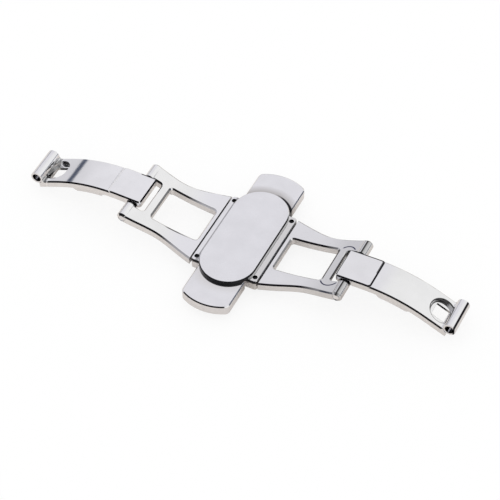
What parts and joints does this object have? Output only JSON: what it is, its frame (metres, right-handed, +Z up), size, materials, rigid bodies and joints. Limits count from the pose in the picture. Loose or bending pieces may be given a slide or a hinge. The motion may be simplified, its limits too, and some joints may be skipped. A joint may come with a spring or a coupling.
{
  "type": "butterfly clasp",
  "caption": "Push-button butterfly clasp for a watch strap, open: an oval centre, windowed hinged arms and curved blades with bar tubes",
  "frame": {"origin": "centre of the object's footprint, on the surface that the open clasp lies on", "axes": "+X along the strap, +Y across it towards the rear button, +Z up from the surface to the wrist side"},
  "size_m": [0.0688, 0.0276, 0.0058],
  "materials": {
    "polished_steel": "mirror-polished stainless steel",
    "satin_steel": "fine satin stainless steel",
    "brushed_inner_steel": "machined stainless steel",
    "pin_steel": "drawn steel rod, cut and staked",
    "spring_steel": "hard rolled spring steel"
  },
  "bodies": {
    "center": {"center_frame": "brushed_inner_steel", "back_cover": "satin_steel", "front_cover": "brushed_inner_steel", "cover_rivets": "pin_steel", "pin_stakes": "pin_steel", "left_inner_pin": "pin_steel", "right_inner_pin": "pin_steel"},
    "front_button": {"front_button": "polished_steel", "front_catch": "spring_steel", "front_catch_rivets": "pin_steel", "front_button_spring": "spring_steel"},
    "rear_button": {"rear_button": "polished_steel", "rear_catch": "spring_steel", "rear_catch_rivets": "pin_steel", "rear_button_spring": "spring_steel"},
    "left_arm": {"left_arm": "polished_steel", "left_outer_pin": "pin_steel"},
    "right_arm": {"right_arm": "polished_steel", "right_outer_pin": "pin_steel"},
    "left_blade": {"left_blade": "polished_steel", "left_blade_pad": "polished_steel", "left_bar_tube": "polished_steel"},
    "right_blade": {"right_blade": "polished_steel", "right_blade_pad": "polished_steel", "right_bar_tube": "polished_steel"}
  },
  "joints": [
    {"name": "left_arm_hinge", "type": "hinge", "parent": "center", "child": "left_arm", "pos_m": [-0.00485, 0, 0.00185], "axis": [0, 1, 0], "range_deg": [0, 10]},
    {"name": "right_arm_hinge", "type": "hinge", "parent": "center", "child": "right_arm", "pos_m": [0.00485, 0, 0.00185], "axis": [0, -1, 0], "range_deg": [0, 10]},
    {"name": "left_blade_hinge", "type": "hinge", "parent": "left_arm", "child": "left_blade", "pos_m": [-0.0172, 0, 0.00451], "axis": [0, -1, 0], "range_deg": [0, 155.5]},
    {"name": "right_blade_hinge", "type": "hinge", "parent": "right_arm", "child": "right_blade", "pos_m": [0.0172, 0, 0.00451], "axis": [0, 1, 0], "range_deg": [0, 155.5]},
    {"name": "front_button_slide", "type": "slide", "parent": "center", "child": "front_button", "axis": [0, 1, 0], "range_m": [0, 0.0005], "stiffness_N_per_m": 2000, "springref_m": -0.0005, "deforming": ["front_button_spring"]},
    {"name": "rear_button_slide", "type": "slide", "parent": "center", "child": "rear_button", "axis": [0, -1, 0], "range_m": [0, 0.0005], "stiffness_N_per_m": 2000, "springref_m": -0.0005, "deforming": ["rear_button_spring"]}
  ]
}
